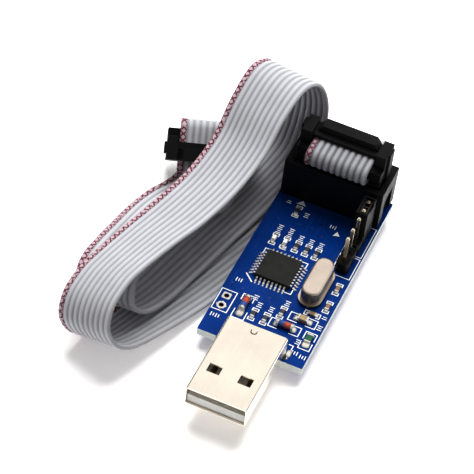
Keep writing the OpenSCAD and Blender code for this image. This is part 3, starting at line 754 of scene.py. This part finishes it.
# copper, as the turns of each line
TRACE_WIDTH, UNDER_TRACE_WIDTH = 0.32, 0.5
TOP_TRACES = (
    [(7.5, 4.3), (7.5, 5.4), (5.6, 7)], [(10, 3.7), (10, 5.2), (10.3, 6)], [(12, 3.7), (12, 5.3), (8, 6.3)],
    [(7.9, 9.6), (7.9, 12.2), (6.4, 13.6), (6.4, 15.2)],
    [(10.3, 9.6), (10.3, 11.5), (7.3, 14.3), (7.3, 15.2)],
    [(12.5, 12.6), (12.5, 13.6), (10.6, 14.6), (10.6, 15.2)], [(5.6, 11.6), (5.6, 15.2)],
    [(15.9, 16), (14, 15.2), (12.9, 18.5)], [(15.9, 22), (13.4, 20.2), (12.7, 20.2)],
    [(19.6, 17.4), (19.6, 18.6), (18, 19.8)], [(19.6, 22.5), (19.6, 24), (16, 25.2), (16, 31), (14, 33)],
    [(8.6, 26), (8.6, 24.9)], [(10.7, 26), (10.7, 25.6), (9.4, 24.9)],
    [(12.7, 26), (12.7, 25.4), (10.2, 24.9)], [(3.95, 26), (3.95, 25.4), (5, 24.9)],
    [(6.25, 26), (5.8, 24.9)],
    [(3.2, 22.1), (1.6, 23.6), (1.6, 39.4), (4, 42)], [(3.2, 21.3), (1, 23.3), (1, 38.6)],
    [(3.3, 18.9), (1, 16.6), (1, 12.4)], [(8.6, 29), (8.6, 38.6)], [(10.7, 29), (10.7, 38.8)],
    [(12.7, 29), (12.7, 33), (9.9, 36), (9.9, 38.8)], [(5.2, 34.6), (5.2, 32.5), (6.25, 31.4)],
    [(JUMPER_X, 25.4), (JUMPER_X, 24.2)], [(JUMPER_X, 31.2), (16.3, 33.4), (16.3, 38.6)],
    [(17.5, 37.3), (15.8, 38.9)], [(19.4, 8.9), (19.4, 9.6)], [(18.9, 11.3), (18.9, 12.4)],
    [(16.4, 7.9), (17.7, 6.6), (18.5, 5.6)])
UNDER_TRACES = (
    [(5.3, 42.5), (5.3, 30), (3, 27.5), (3, 12)], [(7.8, 42.5), (7.8, 33), (12, 29), (12, 8)],
    [(10.35, 42.5), (10.35, 36), (14.5, 31.5), (14.5, 6)], [(12.9, 42.5), (12.9, 38), (18, 33)],
    [(15.4, 42.5), (15.4, 39.5), (18.6, 37)], [(7.5, 4), (7.5, 14), (5.5, 16), (5.5, 26), (7, 27.5)],
    [(10, 4), (10, 22), (8.6, 23.5), (8.6, 26)], [(15.9, 18), (15.9, 21)],
    [(JUMPER_X, 31), (JUMPER_X, 30.2)])
VIAS = (
    (2.9, 4.2), (3.2, 19.5), (1.6, 26.5), (2.6, 32.8), (6.8, 33.2), (9.4, 33.4), (11.9, 32.2),
    (16.3, 28.2), (13.3, 16.3), (17.9, 15.2), (14.1, 11.9), (9.1, 13.2), (16.4, 34.8), (3.7, 12.9),
    (14.4, 23.9), (1.3, 13.4))
VIA_BORE, VIA_INNER, VIA_OUTER = 0.15, 0.16, 0.36


def finish_piece(name, bm, material, body="board"):
    piece = make_piece(name, bm)
    paint(piece, material)
    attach(piece, body)
    return piece


def print_line(bm, points, width=LINE):
    stroke(bm, points, width, PRINT_LOW, PRINT_HIGH)


def bracket(bm, x, y, w, d, open_side):
    """Three sides of a rectangle about (x, y); open_side is n, s, e or w."""
    left, right, front, rear = x - w / 2, x + w / 2, y - d / 2, y + d / 2
    corners = {"n": [(left, rear), (left, front), (right, front), (right, rear)],
               "s": [(left, front), (left, rear), (right, rear), (right, front)],
               "e": [(right, rear), (left, rear), (left, front), (right, front)],
               "w": [(left, rear), (right, rear), (right, front), (left, front)]}
    print_line(bm, corners[open_side])


def tally(bm, x, y, count, turn):
    """A generic mark in place of a printed label: short plain bars side by side."""
    along = Vector((math.cos(math.radians(turn)), math.sin(math.radians(turn))))
    across = Vector((along.y, -along.x))
    for k in range(count):
        middle = Vector((x, y)) + along * (k - (count - 1) / 2) * BAR_STEP
        reach = across * (BAR_HALF - BAR_SHORTER * (k % 2))
        print_line(bm, [middle + reach, middle - reach], BAR_WIDTH)


def make_print():
    bm = bmesh.new()
    for x0, y0, x1, y1 in BOXES:
        print_line(bm, [(x0, y0), (x1, y0), (x1, y1), (x0, y1), (x0, y0)])
    cx, cy = CONTROLLER
    for sx, sy in ((-1, 1), (1, 1), (1, -1)):
        print_line(bm, [(cx + sx * x, cy + sy * y) for x, y in CORNER_MARK])
    print_line(bm, PIN_ONE_MARK, PIN_ONE_WIDTH)
    for each in BRACKETS:
        bracket(bm, *each)
    reach, long_side, short_side = 1.15, 1.15, 0.75
    for x, y in SMALL_PARTS:
        bracket(bm, x, y + reach, long_side, short_side, "s")
        bracket(bm, x, y - reach, long_side, short_side, "n")
    x, y = INPUT_CAP
    bracket(bm, x + reach, y, short_side, long_side, "w")
    bracket(bm, x - reach, y, short_side, long_side, "e")
    for arrow in ARROWS:
        prism(bm, arrow, PRINT_LOW, PRINT_HIGH)
    for label in LABELS:
        tally(bm, *label)
    for points in USB_MARKS:
        print_line(bm, points)
    low, high = UNDER - PRINT_HIGH, UNDER - PRINT_LOW
    for points in UNDER_OUTLINES:
        stroke(bm, points, LINE, low, high)
    for points in UNDER_BARS:
        stroke(bm, points, UNDER_BAR_WIDTH, low, high)
    prism(bm, UNDER_ARROW, low, high)
    finish_piece("printed_outlines", bm, plain_look("white_print"))


# (share of the width, share of the height) from a mound's foot to its top
MOUND = ((1.0, 0.0), (0.96, 0.45), (0.8, 0.8), (0.5, 0.97), (0.0, 1.0))


def mound(bm, middle, size, lean=(0, 0), base=0.0, sides=16, down=False):
    """A smooth pillow of solder: near rectangular at its foot and round on top, its top moved by lean."""
    x, y = middle
    w, d, h = size
    loops = []
    for share, level in MOUND:
        z = base - h * level if down else base + h * level
        px, py = x + lean[0] * level, y + lean[1] * level
        if share == 0:
            loops.append([bm.verts.new(spot(px, py, z))])
            continue
        loop = []
        for k in range(sides):
            a = 2 * math.pi * (k + 0.5) / sides
            c, s = math.cos(a), math.sin(a)
            # a squared circle
            grow = (abs(c) ** 4 + abs(s) ** 4) ** -0.25
            loop.append(bm.verts.new(spot(px + w / 2 * c * grow * share, py + d / 2 * s * grow * share, z)))
        loops.append(loop)
    for here, ahead in zip(loops, loops[1:]):
        for k in range(sides):
            n = (k + 1) % sides
            tip = (ahead[0],) if len(ahead) == 1 else (ahead[n], ahead[k])
            bm.faces.new((here[k], here[n]) + tip).smooth = True
    bm.faces.new(loops[0][::-1])


def two_mounds(bm, middle, gap, size, lean, across=False):
    """A land at each end of a part, gap from its middle, leaning towards it; across turns the pair."""
    x, y = middle
    for side in (-1, 1):
        if across:
            mound(bm, (x + side * gap, y), (size[1], size[0], size[2]), (-side * lean, 0))
        else:
            mound(bm, (x, y + side * gap), size, (0, -side * lean))


LEAD_STEP, LEAD_REACH, LEADS_A_SIDE = 0.8, 4.5, 8
# a land at each end of a part: its middle, gap, size, lean, and whether the pair lies across the board
LAND_PAIRS = [(part, 1.0, (0.86, 0.62, 0.26), 0.16) for part in SMALL_PARTS] + [
    (INPUT_CAP, 1.0, (0.86, 0.62, 0.28), 0.16, True), (FILTER_CAP, 1.45, (1.35, 1.2, 0.45), 0.4, True),
    (DIODE_FRONT, 1.85, (1.45, 1.2, 0.5), 0.3, True)]
# lands that differ from the one at their part's other end: middle, size, lean
LONE_LANDS = (
    ((DIODE_SIDE[0], DIODE_SIDE[1] + 1.8), (1.5, 1.1, 0.5), (0, -0.25)),
    ((DIODE_SIDE[0], DIODE_SIDE[1] - 2.2), (1.6, 2.0, 0.55), (0, 0.6)),
    ((FUSE[0], FUSE[1] + 1.05), (1.5, 0.7, 0.35), (0, -0.15)),
    ((FUSE[0], FUSE[1] - 1.55), (1.5, 1.5, 0.3), (0, 0.5)),
    ((SHELL_RIGHT + 0.6, 2.2), (0.9, 1.9, 0.4), (-0.3, 0)),
    ((SHELL_LEFT - 0.6, 2.2), (0.9, 1.9, 0.4), (0.3, 0)))


# bore and outer radius, above and below
PIN_PAD, PIN_PAD_UNDER = (0.45, 0.95), (0.45, 0.98)
FREE_PAD, FREE_PAD_UNDER, BARREL = (0.5, 0.9), (0.5, 0.95), (0.44, 0.49)


def square_pad(a):
    return 0.82 / max(abs(math.cos(a)), abs(math.sin(a)))


def diamond_pad(a):
    """A pad drawn out to four corners and round between them."""
    if abs(math.cos(2 * a)) > 0.3:
        return 1.15 / (abs(math.cos(a)) + abs(math.sin(a)))
    return 0.95


def make_solder():
    bm = bmesh.new()
    for pair in LAND_PAIRS:
        two_mounds(bm, *pair)
    for land in LONE_LANDS:
        mound(bm, *land)
    cx, cy = CONTROLLER
    for k in range(LEADS_A_SIDE):
        shift = (k - (LEADS_A_SIDE - 1) / 2) * LEAD_STEP
        for side in (-1, 1):
            reach, lean = side * LEAD_REACH, -side * 0.1
            mound(bm, (cx + reach, cy + shift), (1.0, 0.4, 0.08), (lean, 0), sides=10)
            mound(bm, (cx + shift, cy + reach), (0.4, 1.0, 0.08), (0, lean), sides=10)
    for x, y in HEADER_HOLES + JUMPER_HOLES + USB_HOLES + CRYSTAL_HOLES:
        washer(bm, x, y, *PIN_PAD, 0.0, PAD_HIGH)
        washer(bm, x, y, *PIN_PAD_UNDER, UNDER - PAD_HIGH, UNDER)
    for (x, y), outline in zip(OPTION_HOLES, (diamond_pad, square_pad)):
        washer(bm, x, y, *FREE_PAD, 0.0, PAD_HIGH, outline=outline)
        washer(bm, x, y, *FREE_PAD_UNDER, UNDER - PAD_HIGH, UNDER)
    for x in (SHELL_LEFT, SHELL_RIGHT):
        mound(bm, (x, 1.55), (1.9, 2.9, 0.75), base=UNDER, down=True)
    finish_piece("solder_lands", bm, plain_look("bright_solder"))


def make_traces():
    bm = bmesh.new()
    for points in TOP_TRACES:
        stroke(bm, points, TRACE_WIDTH, 0.0, TRACE_HIGH)
    for points in UNDER_TRACES:
        stroke(bm, points, UNDER_TRACE_WIDTH, UNDER - TRACE_HIGH, UNDER)
    for x, y in VIAS:
        washer(bm, x, y, VIA_INNER, VIA_OUTER, 0.0, VIA_HIGH, sides=14)
        washer(bm, x, y, VIA_INNER, VIA_OUTER, UNDER - VIA_HIGH, UNDER, sides=14)
    finish_piece("copper_traces", bm, copper_under_mask())


def make_via_hole_shade():
    # painted shade: a black disc fills each via's bore, above and below, for the dark inside the hole
    bm = bmesh.new()
    for x, y in VIAS:
        prism(bm, circle(x, y, VIA_BORE, 12), -0.1, TRACE_HIGH)
        prism(bm, circle(x, y, VIA_BORE, 12), UNDER - TRACE_HIGH, UNDER + 0.1)
    finish_piece("via_hole_shade", bm, plain_look("dull_glass"))


def make_barrels():
    """The plated walls of the two free holes, dull copper-brown and painted darker as shade inside the
    holes.
    """
    bm = bmesh.new()
    for x, y in OPTION_HOLES:
        washer(bm, x, y, *BARREL, UNDER - PAD_HIGH, PAD_HIGH + 0.005)
    finish_piece("free_hole_barrels", bm, plain_look("shaded_hole_wall"))


FILM = 0.012
SEAM = [(11, -17), (11, -11.5), (10.2, -10.8), (10.2, -9.4), (11.8, -9.4), (11.8, -8), (11, -7.4), (11, 0.2)]
STAMP_MIDDLE, STAMP_RADIUS, STAMP_REAR = (10.8, 0.4), 0.55, 0.7


def make_shell_seam():
    """The folded shell's joint line under the USB plug, with its dovetail."""
    bm = bmesh.new()
    stroke(bm, SEAM, 0.1, -FILM, 0.0)
    finish_piece("shell_seam", bm, plain_look("dull_glass"))


def make_stamp():
    """Shade in the half-round mark stamped into the shell near its rear edge."""
    bm = bmesh.new()
    (x, y), r = STAMP_MIDDLE, STAMP_RADIUS
    angles = [math.pi + math.pi * k / 10 for k in range(11)]
    arc = [(x + r * math.cos(a), y + r * math.sin(a)) for a in angles]
    stroke(bm, [(x - r, STAMP_REAR)] + arc + [(x + r, STAMP_REAR)], 0.15, SHELL_TOP, SHELL_TOP + FILM)
    finish_piece("stamp_shade", bm, plain_look("dull_glass"))


STRAND_CIRCLE, STRAND_RADIUS, STRAND_REACH = 0.13, 0.06, 0.36


def make_strands(name, place, body):
    """Cut wire ends in a plug's slot: seven copper strands for each wire."""
    bm = bmesh.new()
    start = RIBBON_START_Y - 0.3
    for wire in range(WIRES):
        x = (wire - (WIRES - 1) / 2) * WIRE_PITCH
        for dx, dz in circle(0, 0, STRAND_CIRCLE, 6) + [(0, 0)]:
            section = circle(x + dx, RIBBON_LOW + dz, STRAND_RADIUS, 6)
            near, far = ([bm.verts.new(place(u, y, v)) for u, v in section]
                         for y in (start, start + STRAND_REACH))
            bridge(bm, near, far)
            bm.faces.new(far)
            bm.faces.new(near[::-1])
    finish_piece(name, bm, plain_look("copper_strands"), body)


make_print()
make_solder()
make_traces()
make_via_hole_shade()
make_barrels()
make_shell_seam()
make_stamp()
make_strands("plug_wire_ends", in_plug, "cable_plug")
make_strands("far_plug_wire_ends", in_far_plug, "board")

# ---------------------------------------------------------------- rounded edges of the CAD nodes


SHARP_ANGLE = 40
WELD_DISTANCE = 0.001
# bevel width in millimetres, and the nodes that get it
EDGE_WIDTHS = (
    (0.15, ("plug_body", "plug_cover", "plug_strain_relief", "far_plug_body", "far_plug_cover",
            "far_plug_strain_relief")),
    (0.12, ("box_header", "shunt_housing", "diode_caps")),
    (0.1, ("diode_front", "diode_side")),
    (0.08, ("jumper_strip_short", "jumper_strip_long", "filter_capacitor", "usb_insulator")),
    (0.05, ("controller_body", "chip_resistors", "chip_capacitors", "fuse_chip", "lamp_left", "lamp_right",
            "circuit_board")),
    (0.04, ("chip_terminals",)))


def soften(node, width_mm):
    """Rounds a CAD node's sharp edges with modifiers; its mesh stays as it is."""
    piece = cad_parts[node]
    weld = piece.modifiers.new("weld", "WELD")
    weld.merge_threshold = WELD_DISTANCE * MM
    bevel = piece.modifiers.new("bevel", "BEVEL")
    bevel.width = width_mm * MM
    bevel.segments = 2
    bevel.limit_method = "ANGLE"
    bevel.angle_limit = math.radians(SHARP_ANGLE)


for width, nodes in EDGE_WIDTHS:
    for node in nodes:
        soften(node, width)

# ---------------------------------------------------------------- materials of the CAD nodes


def middle_of(node, axis):
    """Middle of a CAD node along an axis, in millimetres in the row frame."""
    low_corner, high_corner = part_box(node)
    return (low_corner[axis] + high_corner[axis]) / 2 / MM


# look: the nodes that wear it
PLAIN_NODES = {
    "bright_solder": ("solder_joints", "chip_terminals", "diode_caps"),
    "moulded_white": ("usb_insulator",),
    "gold_plate": ("usb_contacts", "plug_contacts", "far_plug_contacts"),
    "tinned_lead": ("controller_leads", "crystal_leads"),
    # painted shade on the shunt's clip
    "shaded_spring": ("shunt_clip",),
    "dull_glass": ("crystal_base",),
    "resistor_glaze": ("chip_resistors",),
    "tan_ceramic": ("chip_capacitors",),
    "filter_ceramic": ("filter_capacitor",),
    "fuse_varnish": ("fuse_chip",),
}
for look_name, nodes in PLAIN_NODES.items():
    for node in nodes:
        paint_node(node, plain_look(look_name))

OWN_LOOKS = {
    "circuit_board": solder_mask(),
    "usb_shell": plated_shell(),
    "controller_body": chip_black(),
    "crystal_can": crystal_metal(),
    "lamp_left": lamp_resin(),
    "lamp_right": lamp_resin(),
    "plug_strain_relief": relief_black("relief_black"),
    "far_plug_strain_relief": relief_black("far_relief_black"),
    "diode_front": diode_glass("diode_front_glass", "X", middle_of("diode_front", 0), -1),
    "diode_side": diode_glass("diode_side_glass", "Y", middle_of("diode_side", 1), -1),
}
for node, material in OWN_LOOKS.items():
    paint_node(node, material)
for node in ("box_header", "jumper_strip_short", "jumper_strip_long", "shunt_housing", "plug_body",
             "plug_cover", "far_plug_body", "far_plug_cover"):
    paint_node(node, connector_black())
for node in ("box_header_pins", "jumper_pins_short", "jumper_pins_long"):
    paint_node(node, pin_plate())

# ---------------------------------------------------------------- light and floor

SKY_COLOR = (1.0, 0.985, 0.96)
SKY_LOW, SKY_HIGH, SKY_DARK = 0.1, 0.6, 0.2  # it brightens between two heights, from a dark share
SKY_NEAR, SKY_FAR, SKY_FRONT = -0.9, 0.3, 0.3  # and between two depths in the same way
SKY_POWER = 1.1
SKY_ON_DIFFUSE = 0.45
FLOOR_SIZE, FLOOR_MIDDLE = 1.2, (0, 24)
FLOOR_GAP = 0.0001
FLOOR_GLOW = 0.28
PAPER_WHITE, PAPER_GLOW = (0.97, 0.965, 0.965), (1.0, 0.98, 0.98)
LAMPS_AIM = (3, 24)
# name: place from that point in metres, diameter, power
LAMPS_ABOVE = {"key": ((-0.1, 0.3, 0.62), 0.55, 7.6), "fill": ((0.3, -0.5, 0.5), 0.6, 0.35)}


def make_world():
    """A bright sky overhead and behind the object, darker towards the front and the horizon."""
    world = bpy.data.worlds.new("studio")
    bpy.context.scene.world = world
    world.use_nodes = True
    tree = world.node_tree

    def ramp(source, start, end, at_start, at_end=1.0):
        node = tree.nodes.new("ShaderNodeMapRange")
        sockets = ("From Min", "From Max", "To Min", "To Max")
        for socket, value in zip(sockets, (start, end, at_start, at_end)):
            node.inputs[socket].default_value = value
        tree.links.new(source, node.inputs["Value"])
        return node.outputs["Result"]

    def times(a, b):
        node = tree.nodes.new("ShaderNodeMath")
        node.operation = "MULTIPLY"
        tree.links.new(a, node.inputs[0])
        tree.links.new(b, node.inputs[1])
        return node.outputs[0]

    coords = tree.nodes.new("ShaderNodeTexCoord")
    split = tree.nodes.new("ShaderNodeSeparateXYZ")
    tree.links.new(coords.outputs["Generated"], split.inputs[0])
    height = ramp(split.outputs["Z"], SKY_LOW, SKY_HIGH, SKY_DARK * SKY_POWER, SKY_POWER)
    depth = ramp(split.outputs["Y"], SKY_NEAR, SKY_FAR, SKY_FRONT)
    # softer on diffuse surfaces than in the mirror of metal ones, as from a large dim softbox
    path = tree.nodes.new("ShaderNodeLightPath")
    share = ramp(path.outputs["Is Diffuse Ray"], 0.0, 1.0, 1.0, SKY_ON_DIFFUSE)
    background = tree.nodes["Background"]
    tree.links.new(times(times(height, depth), share), background.inputs["Strength"])
    background.inputs["Color"].default_value = rgb(*SKY_COLOR)


def make_stage():
    """White paper that glows a little, two round lamps that no metal mirrors, and the sky."""
    bm = bmesh.new()
    bmesh.ops.create_grid(bm, x_segments=1, y_segments=1, size=FLOOR_SIZE)
    floor = make_piece("floor", bm)
    below = spot(*FLOOR_MIDDLE)
    floor.location = (below.x, below.y, cad_low[2] - FLOOR_GAP)
    paper = Look("floor_paper", PAPER_WHITE, rough=0.9).mottled(60, 0.01).bumpy(0.6, 0.02, 0.1)
    paper.set("Emission Color", rgb(*PAPER_GLOW)).set("Emission Strength", FLOOR_GLOW)
    paint(floor, paper.material)
    for name, (place, size, power) in LAMPS_ABOVE.items():
        light = bpy.data.lights.new(name, "AREA")
        light.shape = "DISK"
        light.size = size
        light.energy = power
        lamp = bpy.data.objects.new(name, light)
        lamp.location = spot(*LAMPS_AIM) + Vector(place)
        lamp.rotation_euler = Vector(place).to_track_quat("Z", "Y").to_euler()
        lamp.visible_glossy = False
        bpy.context.scene.collection.objects.link(lamp)
    make_world()
    view = bpy.context.scene.view_settings
    view.view_transform = "Standard"
    view.exposure = 0.0
    view.gamma = 0.8


make_stage()
